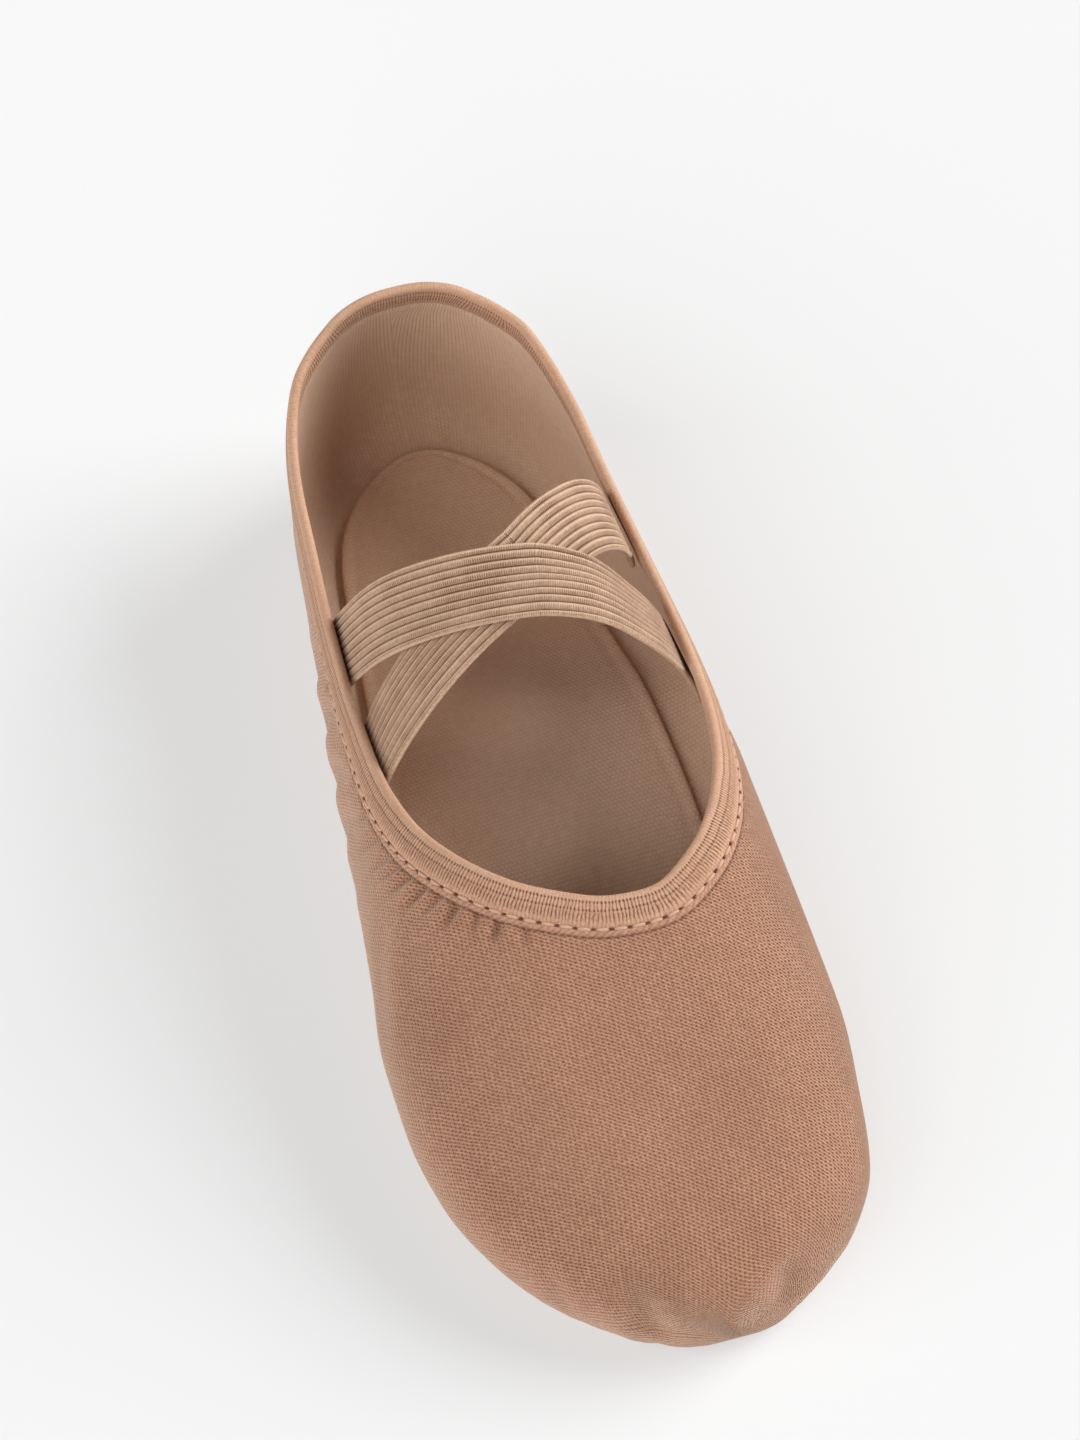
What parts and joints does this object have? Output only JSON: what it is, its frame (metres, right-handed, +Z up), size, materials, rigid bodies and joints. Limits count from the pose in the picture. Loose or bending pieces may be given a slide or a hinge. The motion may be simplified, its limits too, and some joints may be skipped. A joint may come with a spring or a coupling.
{
  "type": "canvas ballet shoe",
  "caption": "Soft canvas ballet slipper for the right foot with a split suede sole, elastic bound collar and crossed elastic straps.",
  "frame": {"origin": "on the floor, under the middle of the shoe's length and width", "axes": "+Z up; the toe points along -Y and the heel along +Y; +X is the big-toe (inner) side of this right shoe"},
  "size_m": [0.09, 0.24, 0.0697],
  "materials": {
    "canvas": "matte stretch canvas",
    "elastic": "knitted elastic, soft sheen",
    "strap_elastic": "ribbed elastic",
    "suede": "napped suede",
    "lining": "matte cotton sock"
  },
  "bodies": {
    "root": {"upper": "canvas", "collar_binding": "elastic", "strap_over": "strap_elastic", "strap_under": "strap_elastic", "forefoot_sole": "suede", "heel_sole": "suede", "insole": "lining"}
  },
  "joints": []
}
